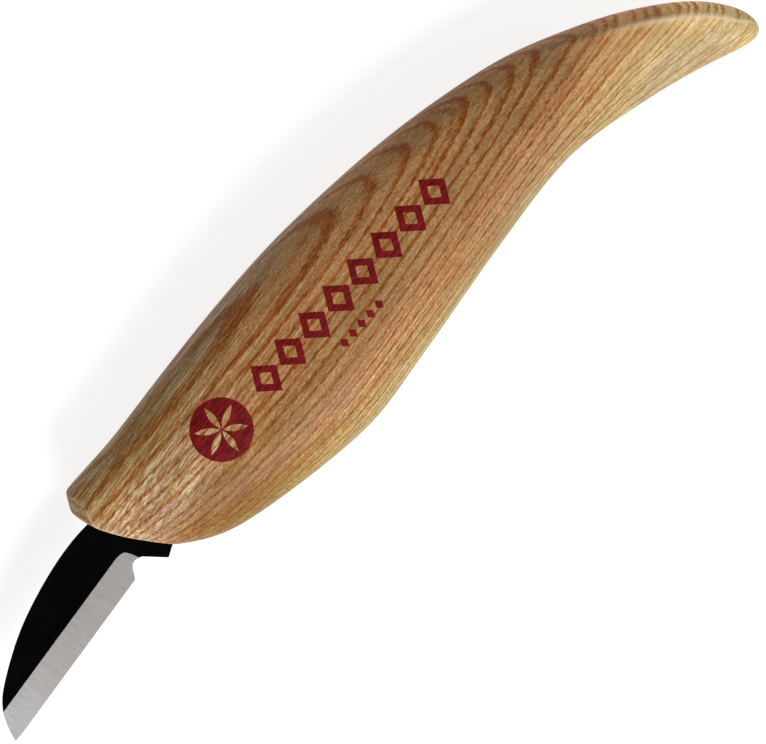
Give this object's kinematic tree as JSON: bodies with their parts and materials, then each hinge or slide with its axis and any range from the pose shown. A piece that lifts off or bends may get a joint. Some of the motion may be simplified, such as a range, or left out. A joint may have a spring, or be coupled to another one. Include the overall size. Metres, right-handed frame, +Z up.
{
  "type": "whittling knife",
  "caption": "Fixed-blade whittling knife: a short straight-edged blade with a dropped spine, its hidden tang bonded into a palm-filling hooked wooden handle.",
  "frame": {"origin": "middle of the knife's plan, on the surface it lies on", "axes": "+X from the blade's tip to the handle's tail, +Y from the cutting edge towards the spine, +Z up through the thickness"},
  "size_m": [0.1692, 0.0478, 0.0217],
  "materials": {
    "ash_wood": "satin varnished ash with open straight and cathedral grain",
    "black_oxide_steel": "black oxide flats with finely ground bright bevels",
    "epoxy": "amber set epoxy",
    "print_ink": "crimson ink printed on the wood"
  },
  "bodies": {
    "root": {"handle": "ash_wood", "blade": "black_oxide_steel", "tang_adhesive": "epoxy"}
  },
  "joints": []
}
